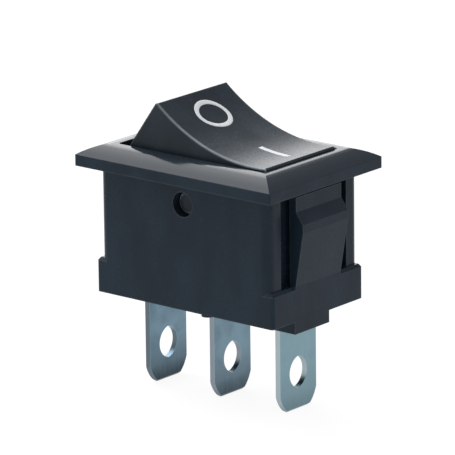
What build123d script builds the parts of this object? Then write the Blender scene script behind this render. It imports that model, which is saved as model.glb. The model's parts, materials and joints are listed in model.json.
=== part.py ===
"""Snap-in panel rocker switch: one pole, two throws, three blade terminals.

Millimetres. The origin is the centre of the panel cut-out, on the underside of the bezel.
+Z points out of the panel, +X towards the end marked I, which is pressed at rest, and Y
runs across the switch.
"""
import os
from math import cos, radians, sin

from build123d import *

os.makedirs("parts", exist_ok=True)

# Bezel: a square rim with slightly crowned faces that rise to a flat ridge round the rocker
BEZEL_LENGTH = 21.0
BEZEL_WIDTH = 15.0
BEZEL_CORNER = 0.15
RIM_HEIGHT = 0.93
BEZEL_HEIGHT = 1.78
SLOPE_WIDTH = 1.87
SLOPE_RADIUS = 6.0
RIDGE_FILLET = 1.8
RIM_FILLET = 0.12

# Body: a thin-walled cup below the bezel, with a deeper foot across each end
BODY_LENGTH = 18.2
BODY_WIDTH = 12.0
BODY_CORNER = 0.8
BODY_FOOT = -11.15
FOOT_LENGTH = 19.1
FOOT_HEIGHT = 3.0
FOOT_CORNER = 0.3
FOOT_CHAMFER = 0.25
CAVITY_LENGTH = 15.8
CAVITY_WIDTH = 9.86
CAVITY_CORNER = 0.35

# Latch arms: one on each end, rooted on the foot and free just below the bezel
ARM_WIDTH = 6.0
ARM_BACK = 8.95
ARM_CREST = 10.38
ARM_NECK = 9.66
ARM_TOP = -0.45
NECK_FOOT = -1.7
CREST_TOP = -2.7
CREST_FOOT = -3.4
CREST_FILLET = 0.25
ARM_ROOT = 0.3
POCKET_WIDTH = 8.7
POCKET_WALL = 8.4

# Pad under the body, flush with the end marked I, and a peg beside the middle blade
PAD_Y = (-3.1, 1.44)
PAD_START = -0.45
PAD_HEIGHT = 1.05
PEG_CENTRE = (0.34, -3.3)
PEG_RADIUS = 0.55

# Rocker: side view drawn level, measured from its pivot, then tilted
ROCKER_TILT = 18.3
PIVOT_Z = -2.0
ROCKER_TOP_HALF = 6.135
ROCKER_TOP_HEIGHT = 6.25
ROCKER_DISH = 1.2
ROCKER_HALF_WIDTH_TOP = 4.6
ROCKER_HALF_WIDTH_FOOT = 4.72
SKIRT_RADIUS = 7.72
SKIRT_SHOULDER = 12.0
SKIRT_END = -4.0
ROCKER_WALL = 1.0
ROCKER_RIB = 0.9
CROWN_FILLET = 0.18
CHEEK_INSIDE = 3.9
HUB_RADIUS = 1.6
HUB_FACE = 4.85
PIN_RADIUS = 0.98
PIN_END = 5.4
PIN_CHAMFER = 0.2
PIVOT_HOLE_RADIUS = 1.05

# Spring stem under the rocker, with the plunger and spring in its bore
STEM_SIZE = 3.9
STEM_CORNER = 0.4
STEM_REACH = 3.4
BORE_RADIUS = 1.25
BORE_DEPTH = 6.2
PLUNGER_RADIUS = 1.18
PLUNGER_LENGTH = 3.1
NOSE_RADIUS = 0.8
NOSE_CENTRE = 4.6
NOSE_LENGTH = 0.9
SPIGOT_RADIUS = 0.55
SPIGOT_LENGTH = 0.8
SPRING_WIRE = 0.26
SPRING_RADIUS = 0.93
SPRING_TURNS = 6

# Contact bridge: a stamped strip with a trough, rocking on the common terminal
BRIDGE_RATIO = 0.6
BRIDGE_PIVOT_Z = -8.0
BRIDGE_THICKNESS = 0.5
BRIDGE_HALF_LENGTH = 6.5
BRIDGE_HALF_WIDTH = 2.0
TROUGH_RADIUS = 2.417
TROUGH_ANGLE = 48.0
BEND_RADIUS = 0.4
NOTCH_HALF_LENGTH = 0.46
NOTCH_HALF_WIDTH = 1.5
CONTACT_X = 5.4
CONTACT_RADIUS = 1.2
SHANK_RADIUS = 0.6
MOVING_RIM = 0.1
MOVING_DOME = 0.3
FIXED_RIM = 0.35
FIXED_DOME = 0.15
CONTACT_GAP = 0.02

# Blade terminals
TERMINAL_PITCH = 7.1
BLADE_WIDTH = 4.8
BLADE_THICKNESS = 0.5
BLADE_TIP = -19.82
TIP_HALF_WIDTH = 1.4
TIP_TAPER = 1.45
TIP_ARC = 3.0
TIP_CHAMFER = 0.15
EYE_CENTRE = -16.58
EYE_HALF_WIDTH = 1.15
EYE_HALF_HEIGHT = 1.4
KNIFE_CLEARANCE = 0.08
HORN_HEIGHT = 1.0
HORN_INSIDE = 1.55
SHOULDER_HALF_WIDTH = 3.0
SHOULDER_HEIGHT = 0.7
TERMINAL_BEND = 0.2
SHELF_END = 4.6

BRIDGE_TILT = BRIDGE_RATIO * ROCKER_TILT
FOOT_TOP = BODY_FOOT + FOOT_HEIGHT


def side_view(height, tilt):
    """Plane of the side view, with its +X end dropped by the tilt in degrees."""
    turn = radians(tilt)
    return Plane(origin=(0, 0, height), x_dir=(cos(turn), 0, -sin(turn)), z_dir=(0, -1, 0))


rocker_side = side_view(PIVOT_Z, ROCKER_TILT)
bridge_side = side_view(BRIDGE_PIVOT_Z, -BRIDGE_TILT)
rocker_end = Plane(origin=rocker_side.origin, x_dir=(0, 1, 0), z_dir=rocker_side.x_dir)
stem_axis = Plane(origin=rocker_side.origin, x_dir=rocker_side.x_dir, z_dir=-rocker_side.y_dir)


# Centre of the bend between the bridge's trough and each of its flat arms
trough_centre_z = TROUGH_RADIUS + BRIDGE_THICKNESS
bend_reach = trough_centre_z + BEND_RADIUS
bend_centre_x = bend_reach * sin(radians(TROUGH_ANGLE))
bend_centre_z = trough_centre_z - bend_reach * cos(radians(TROUGH_ANGLE))
arm_underside = bend_centre_z + BEND_RADIUS

# The fixed contacts lie under the lowest point of the closed side's domed moving contact
dome_radius = (CONTACT_RADIUS**2 + MOVING_DOME**2) / (2 * MOVING_DOME)
dome_centre_z = arm_underside - MOVING_RIM - MOVING_DOME + dome_radius
closed = radians(BRIDGE_TILT)
FIXED_X = CONTACT_X * cos(closed) + dome_centre_z * sin(closed)
dome_foot = BRIDGE_PIVOT_Z - CONTACT_X * sin(closed) + dome_centre_z * cos(closed) - dome_radius
SHELF_TOP = dome_foot - CONTACT_GAP - FIXED_RIM - FIXED_DOME
FLOOR_TOP = SHELF_TOP - BLADE_THICKNESS


# Bezel: what the profiles along and across the switch share, so its corners are mitred
with BuildPart() as bezel:
    with BuildSketch():
        RectangleRounded(BEZEL_LENGTH, BEZEL_WIDTH, BEZEL_CORNER)
    extrude(amount=BEZEL_HEIGHT)
    for view, reach in ((Plane.XZ, BEZEL_LENGTH / 2), (Plane.YZ, BEZEL_WIDTH / 2)):
        with BuildSketch(view) as profile:
            with BuildLine():
                ridge_end = (reach - SLOPE_WIDTH, BEZEL_HEIGHT)
                Polyline(ridge_end, (0, BEZEL_HEIGHT), (0, 0), (reach, 0), (reach, RIM_HEIGHT))
                RadiusArc(ridge_end, (reach, RIM_HEIGHT), SLOPE_RADIUS)
            make_face()
            fillet(profile.vertices().group_by(Axis.X)[1], radius=RIDGE_FILLET)
            fillet(profile.vertices().group_by(Axis.X)[-1].sort_by(Axis.Y)[-1], radius=RIM_FILLET)
            mirror(about=Plane.YZ)
        extrude(amount=BEZEL_LENGTH / 2, both=True, mode=Mode.INTERSECT)

# Housing: bezel, body, latch arms and pad are one moulding
with BuildPart() as housing:
    with BuildSketch(Plane.XY.offset(BODY_FOOT)):
        RectangleRounded(FOOT_LENGTH, BODY_WIDTH, FOOT_CORNER)
    extrude(amount=FOOT_HEIGHT)
    chamfer(housing.edges().group_by(Axis.Z)[-1], length=FOOT_CHAMFER)
    with BuildSketch(Plane.XY.offset(BODY_FOOT)):
        RectangleRounded(BODY_LENGTH, BODY_WIDTH, BODY_CORNER)
    extrude(amount=-BODY_FOOT)
    add(bezel.part)

    # The cavity for the mechanism, open at the ridge for the rocker to swing in
    with BuildSketch(Plane.XY.offset(FLOOR_TOP)):
        RectangleRounded(CAVITY_LENGTH, CAVITY_WIDTH, CAVITY_CORNER)
    extrude(amount=BEZEL_HEIGHT - FLOOR_TOP, mode=Mode.SUBTRACT)

    # Pivot holes through both long walls, which spring apart as the pins are pushed in
    with BuildSketch(Plane.XZ):
        with Locations((0, PIVOT_Z)):
            Circle(PIVOT_HOLE_RADIUS)
    extrude(amount=BODY_WIDTH / 2, both=True, mode=Mode.SUBTRACT)

    # Pockets in the end walls, which give the latch arms room to bend
    pocket_depth = FOOT_LENGTH / 2 - POCKET_WALL
    with BuildSketch(Plane.XY.offset(FOOT_TOP)):
        with Locations((POCKET_WALL + pocket_depth / 2, 0), (-POCKET_WALL - pocket_depth / 2, 0)):
            Rectangle(pocket_depth, POCKET_WIDTH)
    extrude(amount=-FOOT_TOP, mode=Mode.SUBTRACT)

    # Latch arms: a long slope to the crest, then a short one that grips the panel
    for end in (1, -1):
        with BuildSketch(Plane.XZ) as arm_profile:
            with BuildLine():
                Polyline(
                    (end * ARM_BACK, FOOT_TOP - ARM_ROOT),
                    (end * ARM_BACK, ARM_TOP),
                    (end * ARM_NECK, ARM_TOP),
                    (end * ARM_NECK, NECK_FOOT),
                    (end * ARM_CREST, CREST_TOP),
                    (end * ARM_CREST, CREST_FOOT),
                    (end * FOOT_LENGTH / 2, FOOT_TOP),
                    (end * FOOT_LENGTH / 2, FOOT_TOP - ARM_ROOT),
                    close=True,
                )
            make_face()
            crest = arm_profile.vertices().filter_by_position(Axis.Z, CREST_FOOT, CREST_TOP)
            fillet(crest, radius=CREST_FILLET)
        extrude(amount=ARM_WIDTH / 2, both=True)

    # Pad and peg under the body
    with BuildSketch(Plane.XY.offset(BODY_FOOT)):
        with Locations(((PAD_START + FOOT_LENGTH / 2) / 2, sum(PAD_Y) / 2)):
            Rectangle(FOOT_LENGTH / 2 - PAD_START, PAD_Y[1] - PAD_Y[0])
        with Locations(PEG_CENTRE):
            Circle(PEG_RADIUS)
    extrude(amount=-PAD_HEIGHT)

    # Slots that hold the blades
    with BuildSketch(Plane.XY.offset(FLOOR_TOP)):
        with GridLocations(TERMINAL_PITCH, 0, 3, 1):
            Rectangle(BLADE_THICKNESS, BLADE_WIDTH)
    extrude(amount=BODY_FOOT - PAD_HEIGHT - FLOOR_TOP, mode=Mode.SUBTRACT)
    with BuildSketch(Plane.XY.offset(FLOOR_TOP)):
        slot_inside = TERMINAL_PITCH - BLADE_THICKNESS / 2
        with Locations((slot_inside, 0), (-slot_inside, 0)):
            Rectangle(2 * TERMINAL_BEND, BLADE_WIDTH)
    extrude(amount=-TERMINAL_BEND, mode=Mode.SUBTRACT)

housing.part.label = "housing"
export_step(housing.part, "parts/housing.step")


# Rocker: a dished shell on two hub pins, ribbed inside, with a stem for the spring
skirt_foot = SKIRT_RADIUS * sin(radians(SKIRT_END))
skirt_edge = SKIRT_RADIUS * cos(radians(SKIRT_END))


def on_skirt(end, angle, radius=SKIRT_RADIUS):
    """Point on the skirt's arc round the pivot, at an angle above the level line."""
    return end * radius * cos(radians(angle)), radius * sin(radians(angle))


with BuildPart() as rocker:
    with BuildSketch(rocker_side):
        with BuildLine():
            ThreePointArc(
                (-ROCKER_TOP_HALF, ROCKER_TOP_HEIGHT),
                (0, ROCKER_TOP_HEIGHT - ROCKER_DISH),
                (ROCKER_TOP_HALF, ROCKER_TOP_HEIGHT),
            )
            for end in (1, -1):
                Line((end * ROCKER_TOP_HALF, ROCKER_TOP_HEIGHT), on_skirt(end, SKIRT_SHOULDER))
                ThreePointArc(on_skirt(end, SKIRT_SHOULDER), on_skirt(end, 0), on_skirt(end, SKIRT_END))
            Line((-skirt_edge, skirt_foot), (skirt_edge, skirt_foot))
        make_face()
    extrude(amount=ROCKER_HALF_WIDTH_FOOT, both=True)

    # The cheeks draft inwards towards the top
    with BuildSketch(rocker_end):
        with BuildLine():
            Polyline(
                (-ROCKER_HALF_WIDTH_FOOT, skirt_foot),
                (ROCKER_HALF_WIDTH_FOOT, skirt_foot),
                (ROCKER_HALF_WIDTH_TOP, ROCKER_TOP_HEIGHT),
                (-ROCKER_HALF_WIDTH_TOP, ROCKER_TOP_HEIGHT),
                close=True,
            )
        make_face()
    extrude(amount=SKIRT_RADIUS, both=True, mode=Mode.INTERSECT)
    crown = rocker.faces().sort_by(Axis((0, 0, PIVOT_Z), rocker_side.y_dir))[-1]
    fillet(crown.edges(), radius=CROWN_FILLET)

    # Hollows between the ribs: four under the ends and two beside the stem
    ceiling = ROCKER_TOP_HEIGHT - ROCKER_DISH - ROCKER_WALL
    web = STEM_SIZE / 2 + ROCKER_RIB
    for side in (1, -1):
        with BuildSketch(rocker_side.offset(side * ROCKER_RIB / 2)):
            for end in (1, -1):
                with BuildLine():
                    Polyline(
                        (end * web, skirt_foot),
                        (end * web, ceiling),
                        (end * (ROCKER_TOP_HALF - ROCKER_WALL), ceiling + ROCKER_DISH / 2),
                        on_skirt(end, SKIRT_SHOULDER, SKIRT_RADIUS - ROCKER_WALL),
                        on_skirt(end, 0, SKIRT_RADIUS - ROCKER_WALL),
                        (end * (skirt_edge - ROCKER_WALL), skirt_foot),
                        close=True,
                    )
                make_face()
        extrude(amount=side * (CHEEK_INSIDE - ROCKER_RIB / 2), mode=Mode.SUBTRACT)
        with BuildSketch(rocker_side.offset(side * STEM_SIZE / 2)):
            with Locations((0, (ceiling + HUB_RADIUS) / 2)):
                Rectangle(STEM_SIZE, ceiling - HUB_RADIUS)
        extrude(amount=side * (CHEEK_INSIDE - STEM_SIZE / 2), mode=Mode.SUBTRACT)

        # Hub on the cheek, and the pin that turns in the housing's wall
        with BuildSketch(rocker_side.offset(side * CHEEK_INSIDE)):
            Circle(HUB_RADIUS)
        extrude(amount=side * (HUB_FACE - CHEEK_INSIDE))
        with BuildSketch(rocker_side.offset(side * HUB_FACE)):
            Circle(PIN_RADIUS)
        extrude(amount=side * (PIN_END - HUB_FACE))
        pin_rim = rocker.edges().filter_by_position(Axis.Y, -side * PIN_END, -side * PIN_END)
        chamfer(pin_rim, length=PIN_CHAMFER)

    # Stem and its bore
    with BuildSketch(stem_axis):
        RectangleRounded(STEM_SIZE, STEM_SIZE, STEM_CORNER)
    extrude(amount=STEM_REACH)
    with BuildSketch(stem_axis.offset(STEM_REACH)):
        Circle(BORE_RADIUS)
    extrude(amount=-BORE_DEPTH, mode=Mode.SUBTRACT)

rocker.part.label = "rocker"
export_step(rocker.part, "parts/rocker.step")


# Plunger: turned, with a round nose below and a spigot for the spring above
plunger_head = NOSE_CENTRE - NOSE_LENGTH - PLUNGER_LENGTH
with BuildPart() as plunger:
    with BuildSketch(rocker_side):
        with BuildLine():
            Polyline(
                (0, -NOSE_CENTRE - NOSE_RADIUS),
                (0, SPIGOT_LENGTH - plunger_head),
                (SPIGOT_RADIUS, SPIGOT_LENGTH - plunger_head),
                (SPIGOT_RADIUS, -plunger_head),
                (PLUNGER_RADIUS, -plunger_head),
                (PLUNGER_RADIUS, NOSE_LENGTH - NOSE_CENTRE),
                (NOSE_RADIUS, NOSE_LENGTH - NOSE_CENTRE),
                (NOSE_RADIUS, -NOSE_CENTRE),
            )
            CenterArc((0, -NOSE_CENTRE), NOSE_RADIUS, 270, 90)
        make_face()
    revolve(axis=Axis((0, 0, PIVOT_Z), rocker_side.y_dir))
plunger.part.label = "plunger"
export_step(plunger.part, "parts/plunger.step")


# Spring: a coil between the plunger's head and the blind end of the bore
spring_seat = plunger_head - SPRING_WIRE / 2
spring_length = BORE_DEPTH - STEM_REACH + plunger_head - SPRING_WIRE
with BuildPart() as plunger_spring:
    with BuildLine():
        coil = Helix(
            pitch=spring_length / SPRING_TURNS,
            height=spring_length,
            radius=SPRING_RADIUS,
            center=stem_axis.offset(spring_seat).origin,
            direction=rocker_side.y_dir,
        )
    with BuildSketch(Plane(origin=coil @ 0, z_dir=coil % 0)):
        Circle(SPRING_WIRE / 2)
    sweep()
plunger_spring.part.label = "plunger_spring"
export_step(plunger_spring.part, "parts/plunger_spring.step")


# Contact bridge: the nose of the plunger rides in its trough and tips it end to end
with BuildPart() as contact_bridge:
    trough_centre = (0, trough_centre_z)
    with BuildSketch(bridge_side):
        with BuildLine():
            CenterArc(trough_centre, TROUGH_RADIUS, 270, TROUGH_ANGLE)
            CenterArc((bend_centre_x, bend_centre_z), BEND_RADIUS + BRIDGE_THICKNESS, 90, TROUGH_ANGLE)
            Polyline(
                (bend_centre_x, arm_underside + BRIDGE_THICKNESS),
                (BRIDGE_HALF_LENGTH, arm_underside + BRIDGE_THICKNESS),
                (BRIDGE_HALF_LENGTH, arm_underside),
                (bend_centre_x, arm_underside),
            )
            CenterArc((bend_centre_x, bend_centre_z), BEND_RADIUS, 90, TROUGH_ANGLE)
            CenterArc(trough_centre, TROUGH_RADIUS + BRIDGE_THICKNESS, 270, TROUGH_ANGLE)
            Line((0, BRIDGE_THICKNESS), (0, 0))
        make_face()
        mirror(about=Plane.YZ)
    extrude(amount=BRIDGE_HALF_WIDTH, both=True)
    bridge_plan = Plane(origin=bridge_side.origin, x_dir=bridge_side.x_dir, z_dir=bridge_side.y_dir)
    with BuildSketch(bridge_plan):
        for side in (1, -1):
            with Locations((0, side * (NOTCH_HALF_WIDTH + BRIDGE_HALF_WIDTH) / 2)):
                Rectangle(2 * NOTCH_HALF_LENGTH, BRIDGE_HALF_WIDTH - NOTCH_HALF_WIDTH)
        with Locations((CONTACT_X, 0), (-CONTACT_X, 0)):
            Circle(SHANK_RADIUS)
    extrude(amount=arm_underside + 2 * BRIDGE_THICKNESS, mode=Mode.SUBTRACT)
contact_bridge.part.label = "contact_bridge"
export_step(contact_bridge.part, "parts/contact_bridge.step")


def contact_rivet(plane, rim, dome, shank):
    """Rivet with a domed face that looks along the plane's +Y, turned about its Y."""
    with BuildPart() as rivet:
        with BuildSketch(plane):
            with BuildLine():
                Polyline(
                    (0, rim + dome),
                    (0, -shank),
                    (SHANK_RADIUS, -shank),
                    (SHANK_RADIUS, 0),
                    (CONTACT_RADIUS, 0),
                    (CONTACT_RADIUS, rim),
                )
                sphere = (CONTACT_RADIUS**2 + dome**2) / (2 * dome)
                RadiusArc((CONTACT_RADIUS, rim), (0, rim + dome), -sphere)
            make_face()
        revolve(axis=Axis(plane.origin, plane.y_dir))
    return rivet.part


# Number 1 is on the side marked O and number 2 on the side marked I
for number, end in ((1, -1), (2, 1)):
    seat = bridge_side.from_local_coords((end * CONTACT_X, arm_underside, 0))
    moving = contact_rivet(
        Plane(origin=seat, x_dir=bridge_side.x_dir, z_dir=-bridge_side.z_dir),
        MOVING_RIM, MOVING_DOME, BRIDGE_THICKNESS,
    )
    moving.label = f"moving_contact_{number}"
    export_step(moving, f"parts/moving_contact_{number}.step")

    fixed = contact_rivet(
        Plane(origin=(end * FIXED_X, 0, SHELF_TOP), x_dir=(1, 0, 0), z_dir=(0, -1, 0)),
        FIXED_RIM, FIXED_DOME, BLADE_THICKNESS,
    )
    fixed.label = f"fixed_contact_{number}"
    export_step(fixed, f"parts/fixed_contact_{number}.step")


def blade_outline(top):
    """Sketch of a blade from its rounded tip up to a height, with its solder eye cut out."""
    with BuildSketch(Plane.YZ) as outline:
        with BuildLine():
            Polyline(
                (-BLADE_WIDTH / 2, BLADE_TIP + TIP_TAPER),
                (-BLADE_WIDTH / 2, top),
                (BLADE_WIDTH / 2, top),
                (BLADE_WIDTH / 2, BLADE_TIP + TIP_TAPER),
            )
            for side in (1, -1):
                RadiusArc(
                    (side * BLADE_WIDTH / 2, BLADE_TIP + TIP_TAPER),
                    (side * TIP_HALF_WIDTH, BLADE_TIP),
                    side * TIP_ARC,
                )
            Line((-TIP_HALF_WIDTH, BLADE_TIP), (TIP_HALF_WIDTH, BLADE_TIP))
        make_face()
        with BuildLine(mode=Mode.PRIVATE) as eye:
            for side in (1, -1):
                ThreePointArc(
                    (0, EYE_CENTRE + EYE_HALF_HEIGHT),
                    (side * EYE_HALF_WIDTH, EYE_CENTRE),
                    (0, EYE_CENTRE - EYE_HALF_HEIGHT),
                )
        make_face(eye.edges(), mode=Mode.SUBTRACT)
    return outline.sketch


# Common terminal: its top edge is the knife that the bridge rocks on
with BuildPart() as common_terminal:
    extrude(blade_outline(FLOOR_TOP), amount=BLADE_THICKNESS / 2, both=True)
    knife = BRIDGE_PIVOT_Z - KNIFE_CLEARANCE
    horn_top = BRIDGE_PIVOT_Z + HORN_HEIGHT
    with BuildSketch(Plane.YZ):
        with BuildLine():
            for side in (1, -1):
                Polyline(
                    (0, knife),
                    (side * HORN_INSIDE, knife),
                    (side * HORN_INSIDE, horn_top),
                    (side * BLADE_WIDTH / 2, horn_top),
                    (side * BLADE_WIDTH / 2, FLOOR_TOP + SHOULDER_HEIGHT),
                    (side * SHOULDER_HALF_WIDTH, FLOOR_TOP + SHOULDER_HEIGHT),
                    (side * SHOULDER_HALF_WIDTH, FLOOR_TOP),
                    (0, FLOOR_TOP),
                )
        make_face()
    extrude(amount=BLADE_THICKNESS / 2, both=True)
    tip = common_terminal.edges().filter_by_position(Axis.Z, BLADE_TIP, BLADE_TIP)
    chamfer(tip.filter_by(Axis.Y), length=TIP_CHAMFER)
common_terminal.part.label = "common_terminal"
export_step(common_terminal.part, "parts/common_terminal.step")


# Throw terminals: each blade bends inwards at its top into a shelf for a fixed contact
for number, end in ((1, -1), (2, 1)):
    bend_outer = TERMINAL_BEND + BLADE_THICKNESS
    bend_x = TERMINAL_PITCH + BLADE_THICKNESS / 2 - bend_outer
    with BuildPart() as throw_terminal:
        blade = blade_outline(SHELF_TOP - bend_outer)
        with Locations((end * TERMINAL_PITCH, 0, 0)):
            add(extrude(blade, amount=BLADE_THICKNESS / 2, both=True, mode=Mode.PRIVATE))
        with BuildSketch(Plane.XZ):
            with BuildLine():
                start = 0 if end > 0 else 90
                for radius in (TERMINAL_BEND, bend_outer):
                    CenterArc((end * bend_x, SHELF_TOP - bend_outer), radius, start, 90)
                Line(
                    (end * (bend_x + TERMINAL_BEND), SHELF_TOP - bend_outer),
                    (end * (bend_x + bend_outer), SHELF_TOP - bend_outer),
                )
                Line((end * bend_x, SHELF_TOP - BLADE_THICKNESS), (end * bend_x, SHELF_TOP))
            make_face()
            with Locations((end * (bend_x + SHELF_END) / 2, SHELF_TOP - BLADE_THICKNESS / 2)):
                Rectangle(bend_x - SHELF_END, BLADE_THICKNESS)
        extrude(amount=BLADE_WIDTH / 2, both=True)
        with BuildSketch(Plane.XY.offset(SHELF_TOP)):
            with Locations((end * FIXED_X, 0)):
                Circle(SHANK_RADIUS)
        extrude(amount=-BLADE_THICKNESS, mode=Mode.SUBTRACT)
        tip = throw_terminal.edges().filter_by_position(Axis.Z, BLADE_TIP, BLADE_TIP)
        chamfer(tip.filter_by(Axis.Y), length=TIP_CHAMFER)
    throw_terminal.part.label = f"throw_terminal_{number}"
    export_step(throw_terminal.part, f"parts/throw_terminal_{number}.step")
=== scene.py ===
"""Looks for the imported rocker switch: finishes, printed marks, spring, studio and camera.

Metres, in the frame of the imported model: +Z out of the panel, +X towards the end marked I.
"""
import json
from math import cos, pi, radians, sin

import bmesh
import bpy
from mathutils import Matrix, Vector
from mathutils.bvhtree import BVHTree


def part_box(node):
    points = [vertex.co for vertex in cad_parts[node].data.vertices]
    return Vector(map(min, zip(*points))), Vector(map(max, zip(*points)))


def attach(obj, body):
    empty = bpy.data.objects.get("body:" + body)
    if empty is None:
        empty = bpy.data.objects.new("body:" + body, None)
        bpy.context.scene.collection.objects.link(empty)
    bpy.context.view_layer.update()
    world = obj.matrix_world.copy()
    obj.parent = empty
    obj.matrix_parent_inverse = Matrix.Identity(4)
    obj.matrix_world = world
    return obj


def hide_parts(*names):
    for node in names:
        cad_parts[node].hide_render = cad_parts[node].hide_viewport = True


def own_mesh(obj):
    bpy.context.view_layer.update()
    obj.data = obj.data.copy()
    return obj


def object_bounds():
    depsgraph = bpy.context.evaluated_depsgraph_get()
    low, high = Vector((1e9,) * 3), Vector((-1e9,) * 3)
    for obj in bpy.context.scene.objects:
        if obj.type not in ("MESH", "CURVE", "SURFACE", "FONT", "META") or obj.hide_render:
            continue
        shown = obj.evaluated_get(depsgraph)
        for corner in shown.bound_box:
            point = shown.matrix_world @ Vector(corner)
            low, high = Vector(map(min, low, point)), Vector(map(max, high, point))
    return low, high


MM = 0.001

# Camera: a long lens, a little above the bezel, on the corner between -Y and the end marked I
CAMERA_AZIMUTH = radians(39.62)
CAMERA_ELEVATION = radians(15.78)
CAMERA_ROLL = radians(-0.69)
CAMERA_DISTANCE = 0.4
CAMERA_LENS = 377.1
CAMERA_NEAREST = 0.02
CAMERA_FARTHEST = 20
CAMERA_TARGET = Vector((0, 0, -5)) * MM
CAMERA_OFFSET = (-0.112 * MM, -0.297 * MM)

# Marks printed on the rocker, in its own level frame: the ring's radii are along and across it
MARK_FILM = 0.018 * MM
MARK_SUNK = -MARK_FILM / 2
MARK_EDGE = 0.04 * MM
MARK_STEPS = 3
RING_CENTRE = -3.48 * MM
RING_SIDE = 0.1 * MM
RING_OUTER = Vector((1.68, 1.83)) * MM
RING_INNER = Vector((1.18, 1.4)) * MM
RING_STEPS = 72
BAR_START = 2.05 * MM
BAR_END = 5.1 * MM
BAR_SIDE = -0.13 * MM
BAR_HALF_WIDTH = 0.275 * MM
BAR_STEPS = 10
CLEAR_OF_ROCKER = 20 * MM

# Surround as the finishes mirror it: white at the horizon, darker overhead
SKY_PALE = radians(21)
SKY_DARK = radians(33)
SKY_LEVEL = 0.45
AMBIENT_LEVEL = 0.5

# Floor: one white where it lights the switch, another where it is seen, with a faint shadow
FLOOR_RADIUS = 1.2
FLOOR_SEGMENTS = 96
FLOOR_GAP = 0.01 * MM
FLOOR_WHITE = (0.75, 0.75, 0.75, 1)
FLOOR_SHADOWED = (0.12, 0.12, 0.12, 1)
FLOOR_GLOW = 0.92

# Range that a noise texture mostly fills
NOISE_LOW = 0.3
NOISE_HIGH = 0.7

# Worn edges: cosine of the turn that rounding gives a surface, off the edges and on them
BEVEL_SAMPLES = 6
TURN_NONE = 0.995
TURN_FULL = 0.86

# Black nylon: its weak mirror level, its worn edges, and the painted sheen added to its tops'
# colour
NYLON_SPECULAR = 0.12
NYLON_EDGE = 0.2 * MM
NYLON_RELIEF = 0.001 * MM
PANEL_BLEND = 0.1 * MM
PAINTED_TOP_SHEEN = (0.0095, 0.0055, 0.002)

# Painted highlight on the rocker's rounded edges: how squarely they face sideways where the band
# starts and ends, and where along the switch it is weakest and fullest
EDGE_HIGHLIGHT_COLOUR = (0.27, 0.31, 0.34)
EDGE_HIGHLIGHT_RADIUS = 0.25 * MM
EDGE_HIGHLIGHT_UPPER = (0.08, 0.35)
EDGE_HIGHLIGHT_LOWER = (0.8, 0.97)
EDGE_HIGHLIGHT_ALONG = (-7 * MM, 0.5 * MM)
EDGE_HIGHLIGHT_LEAST = 0.33

# Tinned blades: heights above the tip of the painted dark reflection at the tip end and of its
# darkest band, and how far the upper edge of that painted reflection wanders up and down
BLADE_EDGE = 0.06 * MM
BLADE_RELIEF = 0.002 * MM
TIP_REFLECTION_FROM = 3.6 * MM
TIP_REFLECTION_BELOW = 0.2 * MM
TIP_REFLECTION_WANDER = 0.8 * MM
TIP_BAND = 1.5 * MM
TIP_STRENGTH = 0.9

# Metal inside the switch and pale plastic: worn edges and depth of the grain
METAL_EDGE = 0.05 * MM
METAL_RELIEF = 0.002 * MM
PLASTIC_RELIEF = 0.0015 * MM

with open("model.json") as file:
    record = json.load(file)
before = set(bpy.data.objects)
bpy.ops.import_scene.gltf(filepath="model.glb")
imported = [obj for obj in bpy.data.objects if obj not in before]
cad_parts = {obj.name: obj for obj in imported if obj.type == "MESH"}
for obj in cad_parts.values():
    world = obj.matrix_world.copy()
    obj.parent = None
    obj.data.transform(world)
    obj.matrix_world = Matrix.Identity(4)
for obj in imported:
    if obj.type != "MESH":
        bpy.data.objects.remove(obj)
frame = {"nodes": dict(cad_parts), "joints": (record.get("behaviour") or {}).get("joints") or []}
cad_low, cad_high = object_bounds()


# Node graphs

def new_material(name):
    """Node material, its tree and shader, and the object's coordinates in metres."""
    material = bpy.data.materials.new(name)
    material.use_nodes = True
    tree = material.node_tree
    shader = tree.nodes["Principled BSDF"]
    coordinates = tree.nodes.new("ShaderNodeTexCoord").outputs["Object"]
    return material, tree, shader, coordinates


def axes(tree, vector):
    """The X, Y and Z sockets of a vector, by name."""
    node = tree.nodes.new("ShaderNodeSeparateXYZ")
    tree.links.new(vector, node.inputs["Vector"])
    return node.outputs


def noise(tree, vector, size, detail=2.0, stretch=(1, 1, 1)):
    """Noise between 0 and 1 with features of about that size in metres."""
    mapping = tree.nodes.new("ShaderNodeMapping")
    mapping.inputs["Scale"].default_value = [axis / size for axis in stretch]
    tree.links.new(vector, mapping.inputs["Vector"])
    texture = tree.nodes.new("ShaderNodeTexNoise")
    texture.inputs["Scale"].default_value = 1
    texture.inputs["Detail"].default_value = detail
    tree.links.new(mapping.outputs["Vector"], texture.inputs["Vector"])
    return texture.outputs["Fac"]


def ramp(tree, value, low, high, start, end):
    """Value carried from the range low-high to the range start-end, and held at its ends."""
    node = tree.nodes.new("ShaderNodeMapRange")
    limits = {"From Min": low, "From Max": high, "To Min": start, "To Max": end}
    for socket, number in limits.items():
        node.inputs[socket].default_value = number
    tree.links.new(value, node.inputs["Value"])
    return node.outputs["Result"]


def spread(tree, texture, start, end):
    """Noise carried from the range that it mostly fills to the range start-end."""
    return ramp(tree, texture, NOISE_LOW, NOISE_HIGH, start, end)


def calc(tree, operation, first, *others):
    """Math nodes that apply it to the sides from first to last. A side is a socket or a number."""
    for other in others:
        node = tree.nodes.new("ShaderNodeMath")
        node.operation = operation
        for socket, side in zip(node.inputs, (first, other)):
            if isinstance(side, (int, float)):
                socket.default_value = side
            else:
                tree.links.new(side, socket)
        first = node.outputs["Value"]
    return first


def mix_heights(tree, first, second, share):
    """That share of the first height and the rest of the second."""
    return calc(
        tree, "ADD",
        calc(tree, "MULTIPLY", first, share),
        calc(tree, "MULTIPLY", second, 1 - share),
    )


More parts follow.
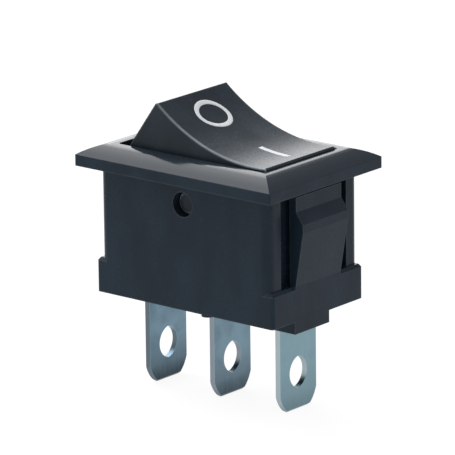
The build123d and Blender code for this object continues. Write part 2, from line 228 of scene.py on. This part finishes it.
def blend_colours(tree, factor, first, second):
    """Mix of two colours. Each one is a socket or an RGB triple."""
    node = tree.nodes.new("ShaderNodeMix")
    node.data_type = "RGBA"
    tree.links.new(factor, node.inputs["Factor"])
    # The node has a pair of inputs and an output for each data type, and these are the colours
    for socket, side in zip((node.inputs[6], node.inputs[7]), (first, second)):
        if isinstance(side, tuple):
            socket.default_value = (*side, 1)
        else:
            tree.links.new(side, socket)
    return node.outputs[2]


def scaled(colour, factor, extra=0.0):
    """Colour times a factor, and paler by a constant, up to white."""
    return tuple(min(1.0, factor * part + extra) for part in colour)


def bump(tree, shader, height, distance):
    """Surface relief from a height between 0 and 1, that many metres deep."""
    node = tree.nodes.new("ShaderNodeBump")
    node.inputs["Strength"].default_value = 1
    node.inputs["Distance"].default_value = distance
    tree.links.new(height, node.inputs["Height"])
    tree.links.new(node.outputs["Normal"], shader.inputs["Normal"])


def object_normal(tree):
    """Surface normal in the object's own axes."""
    return tree.nodes.new("ShaderNodeTexCoord").outputs["Normal"]


def rounded_normal(tree, radius):
    """Surface normal as it would be with every edge rounded to that radius."""
    rounded = tree.nodes.new("ShaderNodeBevel")
    rounded.samples = BEVEL_SAMPLES
    rounded.inputs["Radius"].default_value = radius
    return rounded.outputs["Normal"]


def side_facing(tree, normal):
    """How squarely a surface faces +Y or -Y, about which the rocker turns: 0 to 1."""
    return calc(tree, "ABSOLUTE", axes(tree, normal)["Y"], 0)


def edge_mask(tree, radius):
    """1 on sharp outer edges and 0 elsewhere, by how far rounding them turns the surface."""
    geometry = tree.nodes.new("ShaderNodeNewGeometry")
    turn = tree.nodes.new("ShaderNodeVectorMath")
    turn.operation = "DOT_PRODUCT"
    tree.links.new(rounded_normal(tree, radius), turn.inputs[0])
    tree.links.new(geometry.outputs["Normal"], turn.inputs[1])
    return ramp(tree, turn.outputs["Value"], TURN_NONE, TURN_FULL, 0, 1)


# Finishes

def painted_highlight_mask(tree, wear_and_highlight_patches, along):
    """Painted highlight: a patchy band on the rounded edges along the switch, fuller towards the
    pressed end.
    """
    side_on = side_facing(tree, rounded_normal(tree, EDGE_HIGHLIGHT_RADIUS))
    return calc(
        tree, "MULTIPLY",
        ramp(tree, side_on, *EDGE_HIGHLIGHT_UPPER, 0, 1),
        ramp(tree, side_on, *EDGE_HIGHLIGHT_LOWER, 1, 0),
        spread(tree, wear_and_highlight_patches, 0.75, 1),
        ramp(tree, along, *EDGE_HIGHLIGHT_ALONG, EDGE_HIGHLIGHT_LEAST, 1),
    )


def moulded_nylon(name, colour, gloss, matt, painted_edge_highlight):
    """Black moulded nylon: polished above the panel, spark-textured below it, rubbed on edges.

    A piece given the painted edge highlight gets a painted highlight on the rounded edges that run
    along the switch. Any other gets a painted sheen, a little greyer, on top above the panel.
    """
    material, tree, shader, at = new_material(name)
    flow = noise(tree, at, size=3.2 * MM, detail=3, stretch=(1, 1, 0.45))
    speckle = noise(tree, at, size=0.35 * MM)
    grain = noise(tree, at, size=0.07 * MM, detail=3)
    wear_and_highlight_patches = noise(tree, at, size=0.5 * MM, detail=4, stretch=(0.3, 1, 1))
    place = axes(tree, at)
    above_panel = ramp(tree, place["Z"], -PANEL_BLEND, 0, 0, 1)

    darker, lighter, rubbed = scaled(colour, 0.8), scaled(colour, 1.22), scaled(colour, 1.5, 0.04)
    speckled = ramp(tree, speckle, low=0.45, high=0.75, start=0, end=0.25)
    worn = calc(tree, "MULTIPLY", edge_mask(tree, NYLON_EDGE), spread(tree, wear_and_highlight_patches, 0.35, 1))
    tone = blend_colours(tree, spread(tree, flow, 0, 1), darker, lighter)
    tone = blend_colours(tree, speckled, tone, lighter)
    tone = blend_colours(tree, worn, tone, rubbed)
    if painted_edge_highlight:
        # Painted highlight: a paler band on the rounded long edges, fuller towards the pressed end
        tone = blend_colours(tree, painted_highlight_mask(tree, wear_and_highlight_patches, place["X"]), tone, EDGE_HIGHLIGHT_COLOUR)
    else:
        # Painted sheen: upward faces above the panel get a paler, greyer colour
        facing = axes(tree, object_normal(tree))
        upward = ramp(tree, facing["Z"], low=0.3, high=0.9, start=0, end=0.85)
        sheened_top_colour = tuple(part + sheen for part, sheen in zip(colour, PAINTED_TOP_SHEEN))
        tone = blend_colours(tree, calc(tree, "MULTIPLY", upward, above_panel), tone, sheened_top_colour)
    tree.links.new(tone, shader.inputs["Base Color"])
    shader.inputs["Specular IOR Level"].default_value = NYLON_SPECULAR

    rough = calc(
        tree, "ADD",
        ramp(tree, above_panel, 0, 1, matt, gloss),
        spread(tree, flow, -0.03, 0.03),
        ramp(tree, speckle, low=0.4, high=0.7, start=-0.02, end=0.02),
    )
    rough = calc(tree, "SUBTRACT", rough, calc(tree, "MULTIPLY", worn, 0.05))
    tree.links.new(rough, shader.inputs["Roughness"])
    bump(tree, shader, mix_heights(tree, grain, flow, 0.35), NYLON_RELIEF)
    return material


def tinned_strip(name, colour, edge_tone_and_reflection, tip_reflection_and_tarnish_tone, tip_z):
    """Tinned brass blade: rolled along its length, with a painted dark reflection towards the tip
    and sheared edges.
    """
    material, tree, shader, at = new_material(name)
    rolled = noise(tree, at, size=0.12 * MM, stretch=(1, 1, 0.03))
    cloud = noise(tree, at, size=1.6 * MM, detail=3)
    pits = noise(tree, at, size=0.09 * MM)
    height = axes(tree, at)["Z"]

    # Darker tones: the painted dark reflection towards the tip, also used for the tarnish clouds
    tarnish_and_tip_reflection = scaled(colour, tip_reflection_and_tarnish_tone)
    darkest_tip_reflection = scaled(tarnish_and_tip_reflection, tip_reflection_and_tarnish_tone)
    bright = scaled(colour, 1.5, 0.05)
    wandering = calc(tree, "ADD", height, spread(tree, cloud, -TIP_REFLECTION_WANDER, TIP_REFLECTION_WANDER))
    tip_reflection_reach = ramp(tree, wandering, tip_z + TIP_REFLECTION_FROM, tip_z + TIP_REFLECTION_BELOW, 0, 1)
    tip_reflection_band = ramp(tree, height, tip_z + TIP_BAND, tip_z, 0, TIP_STRENGTH)
    streaks = ramp(tree, rolled, low=0.35, high=0.75, start=0, end=0.12)
    tarnish = ramp(tree, cloud, low=0.4, high=0.8, start=0, end=0.35)
    side_on = side_facing(tree, object_normal(tree))
    on_sheared = ramp(tree, side_on, low=0.7, high=0.9, start=0, end=1)
    worn = calc(tree, "MULTIPLY", edge_mask(tree, BLADE_EDGE), 0.7)
    # Painted dark reflection towards the tip, darkest in the last band
    tone = blend_colours(tree, tip_reflection_reach, colour, tarnish_and_tip_reflection)
    tone = blend_colours(tree, tip_reflection_band, tone, darkest_tip_reflection)
    tone = blend_colours(tree, streaks, tone, bright)
    tone = blend_colours(tree, tarnish, tone, tarnish_and_tip_reflection)
    # Side edges: their sheared finish mixed with painted reflection, a different tone on each
    # blade
    tone = blend_colours(tree, on_sheared, tone, edge_tone_and_reflection)
    tone = blend_colours(tree, worn, tone, bright)
    tree.links.new(tone, shader.inputs["Base Color"])
    shader.inputs["Metallic"].default_value = 1

    rough = calc(tree, "ADD", spread(tree, rolled, 0.3, 0.4), spread(tree, cloud, -0.03, 0.06))
    tree.links.new(rough, shader.inputs["Roughness"])
    bump(tree, shader, mix_heights(tree, rolled, pits, 0.6), BLADE_RELIEF)
    return material


def plain_metal(name, colour, rough, grain_size):
    """Worked metal: cloudy tone, fine grain and bright edges."""
    material, tree, shader, at = new_material(name)
    cloud = noise(tree, at, size=0.9 * MM, detail=3)
    grain = noise(tree, at, size=grain_size)
    worn = calc(tree, "MULTIPLY", edge_mask(tree, METAL_EDGE), 0.8)
    tone = blend_colours(tree, spread(tree, cloud, 0, 1), scaled(colour, 0.75), colour)
    tone = blend_colours(tree, worn, tone, scaled(colour, 1.2))
    tree.links.new(tone, shader.inputs["Base Color"])
    shader.inputs["Metallic"].default_value = 1
    tree.links.new(spread(tree, grain, rough - 0.06, rough + 0.08), shader.inputs["Roughness"])
    bump(tree, shader, grain, METAL_RELIEF)
    return material


def pale_plastic(name, colour, rough, specular):
    """Pale plastic or ink: slight clouding and a fine matt grain."""
    material, tree, shader, at = new_material(name)
    cloud = noise(tree, at, size=0.8 * MM, detail=3)
    grain = noise(tree, at, size=0.05 * MM)
    clouding = ramp(tree, cloud, low=0.3, high=0.75, start=0, end=0.6)
    tone = blend_colours(tree, clouding, colour, scaled(colour, 0.88))
    tree.links.new(tone, shader.inputs["Base Color"])
    shader.inputs["Specular IOR Level"].default_value = specular
    tree.links.new(spread(tree, grain, rough - 0.06, rough + 0.06), shader.inputs["Roughness"])
    bump(tree, shader, grain, PLASTIC_RELIEF)
    return material


blade_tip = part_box("common_terminal")[0].z
finishes = {
    "housing": moulded_nylon(
        "housing_nylon", colour=(0.0138, 0.0252, 0.0388), gloss=0.14, matt=0.26, painted_edge_highlight=False,
    ),
    "rocker": moulded_nylon(
        "rocker_nylon", colour=(0.0222, 0.0318, 0.042), gloss=0.26, matt=0.3, painted_edge_highlight=True,
    ),
    "plunger": pale_plastic("plunger_acetal", colour=(0.75, 0.74, 0.7), rough=0.4, specular=0.5),
    "plunger_spring": plain_metal(
        "spring_steel", colour=(0.5, 0.5, 0.5), rough=0.28, grain_size=0.03 * MM,
    ),
    "contact_bridge": plain_metal(
        "bridge_copper", colour=(0.72, 0.42, 0.26), rough=0.32, grain_size=0.06 * MM,
    ),
    # The blades' tones, tip darkening and edge tones differ from blade to blade as painted
    # reflection of their surroundings
    "common_terminal": tinned_strip(
        "tinned_blade_common", colour=(0.165, 0.25, 0.31), edge_tone_and_reflection=(0.23, 0.265, 0.3),
        tip_reflection_and_tarnish_tone=0.45, tip_z=blade_tip,
    ),
    "throw_terminal_1": tinned_strip(
        "tinned_blade_off", colour=(0.155, 0.24, 0.305), edge_tone_and_reflection=(0.115, 0.15, 0.175),
        tip_reflection_and_tarnish_tone=0.33, tip_z=blade_tip,
    ),
    "throw_terminal_2": tinned_strip(
        "tinned_blade_on", colour=(0.19, 0.295, 0.34), edge_tone_and_reflection=(0.36, 0.425, 0.45),
        tip_reflection_and_tarnish_tone=0.8, tip_z=blade_tip,
    ),
}
silver = plain_metal("contact_silver", colour=(0.8, 0.8, 0.77), rough=0.25, grain_size=0.05 * MM)
for node, piece in frame["nodes"].items():
    piece.data.materials.clear()
    piece.data.materials.append(finishes.get(node, silver))
legend_ink = pale_plastic("legend_ink", colour=(0.74, 0.76, 0.78), rough=0.5, specular=0.0)


# Marks on the rocker: thin films of ink that follow its dished face

joints = {joint["name"]: joint for joint in frame["joints"]}
pivot = Vector(joints["rocker_tilt"]["pos_m"])
rocker_up = Vector(joints["plunger_slide"]["axis"]).normalized()
rocker_along = Vector((rocker_up.z, 0, -rocker_up.x))
rocker_mesh = frame["nodes"]["rocker"].data
rocker_face = BVHTree.FromPolygons(
    [vertex.co.copy() for vertex in rocker_mesh.vertices],
    [tuple(polygon.vertices) for polygon in rocker_mesh.polygons],
)


def on_rocker(along, across, lift):
    """Point above the rocker's face, at that place in its level frame."""
    start = pivot + rocker_along * along + rocker_up * CLEAR_OF_ROCKER
    start.y += across
    hit = rocker_face.ray_cast(start, -rocker_up)[0]
    return hit + rocker_up * lift


def film_section(width):
    """Shares of that width and heights across a film, whose edges dip into the rocker."""
    edge = MARK_EDGE / width
    middle = [edge + (1 - 2 * edge) * step / MARK_STEPS for step in range(MARK_STEPS + 1)]
    return [(0, MARK_SUNK), *[(share, MARK_FILM) for share in middle], (1, MARK_SUNK)]


def print_mark(name, sections, closed):
    """Film of ink from section to section, and from the last to the first if it is closed.

    A section is a row of points across the film, each one along, across and above the face.
    """
    mesh = bmesh.new()
    rows = [[mesh.verts.new(on_rocker(*point)) for point in section] for section in sections]
    pairs = list(zip(rows, rows[1:]))
    if closed:
        pairs.append((rows[-1], rows[0]))
    for first, second in pairs:
        for here in range(len(first) - 1):
            mesh.faces.new((first[here], first[here + 1], second[here + 1], second[here]))
    bmesh.ops.recalc_face_normals(mesh, faces=mesh.faces)
    for face in mesh.faces:
        face.smooth = True
    data = bpy.data.meshes.new(name)
    mesh.to_mesh(data)
    mesh.free()
    mark = bpy.data.objects.new(name, data)
    bpy.context.scene.collection.objects.link(mark)
    data.materials.append(legend_ink)
    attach(mark, "rocker")


ring = []
for step in range(RING_STEPS):
    turn = 2 * pi * step / RING_STEPS
    section = []
    for share, lift in film_section(RING_OUTER.x - RING_INNER.x):
        radii = RING_INNER.lerp(RING_OUTER, share)
        section.append((RING_CENTRE + radii.x * cos(turn), RING_SIDE + radii.y * sin(turn), lift))
    ring.append(section)
print_mark("mark_off", ring, closed=True)

bar = []
for along in (
    BAR_START, BAR_START + MARK_EDGE,
    *[BAR_START + (BAR_END - BAR_START) * step / BAR_STEPS for step in range(1, BAR_STEPS)],
    BAR_END - MARK_EDGE, BAR_END,
):
    at_end = along in (BAR_START, BAR_END)
    bar.append([
        (along, BAR_SIDE + (2 * share - 1) * BAR_HALF_WIDTH, MARK_SUNK if at_end else lift)
        for share, lift in film_section(2 * BAR_HALF_WIDTH)
    ])
print_mark("mark_on", bar, closed=False)


# Spring: a copy of the imported coil, attached to the rocker in place of the hidden original

coil = bpy.data.objects.new("plunger_coil", frame["nodes"]["plunger_spring"].data.copy())
bpy.context.scene.collection.objects.link(coil)
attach(coil, "rocker")
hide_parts("plunger_spring")
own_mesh(coil)


# Studio

def area_lamp(name, direction, distance, width, height, radiance):
    """Soft box that faces the switch, as bright as that radiance."""
    lamp = bpy.data.lights.new(name, "AREA")
    lamp.shape = "RECTANGLE"
    lamp.size = width
    lamp.size_y = height
    lamp.energy = radiance * pi * width * height
    holder = bpy.data.objects.new(name, lamp)
    away = Vector(direction).normalized()
    holder.location = CAMERA_TARGET + away * distance
    holder.rotation_euler = away.to_track_quat("Z", "Y").to_euler()
    holder.visible_camera = False
    bpy.context.scene.collection.objects.link(holder)


area_lamp(
    "soft_box_side", direction=(-0.66, 0.24, 0.7), distance=0.5,
    width=0.5, height=0.34, radiance=4.6,
)
area_lamp(
    "soft_box_back", direction=(-0.62, 0.74, 0.24), distance=0.6,
    width=0.24, height=0.22, radiance=2.0,
)
area_lamp(
    "soft_box_above", direction=(-0.05, -0.35, 1.0), distance=0.5,
    width=0.3, height=0.3, radiance=2.0,
)


def seen_directly(tree):
    """1 for rays from the camera and for mirrored or transmitted ones, 0 for diffuse light."""
    path = tree.nodes.new("ShaderNodeLightPath").outputs
    return calc(
        tree, "MAXIMUM", path["Is Glossy Ray"], path["Is Transmission Ray"], path["Is Camera Ray"],
    )


# World: white to the camera and through clear pieces, the surround to mirrors, plain to the rest
world = bpy.data.worlds.new("studio")
bpy.context.scene.world = world
world.use_nodes = True
world_tree = world.node_tree
background = world_tree.nodes["Background"]
background.inputs["Color"].default_value = (1, 1, 1, 1)
sky_direction = axes(world_tree, world_tree.nodes.new("ShaderNodeTexCoord").outputs["Generated"])
mirrored_sky = ramp(world_tree, sky_direction["Z"], sin(SKY_PALE), sin(SKY_DARK), 1, SKY_LEVEL)
path = world_tree.nodes.new("ShaderNodeLightPath").outputs
mirrored_only = calc(world_tree, "SUBTRACT", path["Is Glossy Ray"], path["Is Camera Ray"])
white = calc(world_tree, "MAXIMUM", path["Is Camera Ray"], path["Is Transmission Ray"])
plain = calc(world_tree, "SUBTRACT", 1, seen_directly(world_tree))
level = calc(
    world_tree, "ADD",
    calc(world_tree, "MAXIMUM", calc(world_tree, "MULTIPLY", mirrored_only, mirrored_sky), white),
    calc(world_tree, "MULTIPLY", plain, AMBIENT_LEVEL),
)
world_tree.links.new(level, background.inputs["Strength"])

floor_mesh = bmesh.new()
bmesh.ops.create_circle(floor_mesh, cap_ends=True, segments=FLOOR_SEGMENTS, radius=FLOOR_RADIUS)
floor_data = bpy.data.meshes.new("floor")
floor_mesh.to_mesh(floor_data)
floor_mesh.free()
floor = bpy.data.objects.new("floor", floor_data)
floor.location.z = cad_low.z - FLOOR_GAP
bpy.context.scene.collection.objects.link(floor)

floor_finish = bpy.data.materials.new("floor_white")
floor_finish.use_nodes = True
floor_tree = floor_finish.node_tree
floor_tree.nodes.remove(floor_tree.nodes["Principled BSDF"])
lighting = floor_tree.nodes.new("ShaderNodeBsdfDiffuse")
lighting.inputs["Color"].default_value = FLOOR_WHITE
shadowed = floor_tree.nodes.new("ShaderNodeBsdfDiffuse")
shadowed.inputs["Color"].default_value = FLOOR_SHADOWED
glow = floor_tree.nodes.new("ShaderNodeEmission")
glow.inputs["Strength"].default_value = FLOOR_GLOW
seen = floor_tree.nodes.new("ShaderNodeAddShader")
floor_tree.links.new(shadowed.outputs[0], seen.inputs[0])
floor_tree.links.new(glow.outputs[0], seen.inputs[1])
either = floor_tree.nodes.new("ShaderNodeMixShader")
floor_tree.links.new(seen_directly(floor_tree), either.inputs["Fac"])
floor_tree.links.new(lighting.outputs[0], either.inputs[1])
floor_tree.links.new(seen.outputs[0], either.inputs[2])
floor_tree.links.new(either.outputs[0], floor_tree.nodes["Material Output"].inputs["Surface"])
floor_data.materials.append(floor_finish)

camera = bpy.data.objects.new("camera", bpy.data.cameras.new("camera"))
camera.data.lens = CAMERA_LENS
camera.data.clip_start = CAMERA_NEAREST
camera.data.clip_end = CAMERA_FARTHEST
back = Vector((
    sin(CAMERA_AZIMUTH) * cos(CAMERA_ELEVATION),
    -cos(CAMERA_AZIMUTH) * cos(CAMERA_ELEVATION),
    sin(CAMERA_ELEVATION),
))
turned = back.to_track_quat("Z", "Y").to_matrix()
level_right, level_up = turned.col[0], turned.col[1]
aim = CAMERA_TARGET + level_right * CAMERA_OFFSET[0] + level_up * CAMERA_OFFSET[1]
camera.matrix_world = (
    Matrix.Translation(aim + back * CAMERA_DISTANCE) @ turned.to_4x4()
)
camera.rotation_euler.rotate_axis("Z", CAMERA_ROLL)
bpy.context.scene.collection.objects.link(camera)
bpy.context.scene.camera = camera

bpy.context.scene.view_settings.view_transform = "Standard"
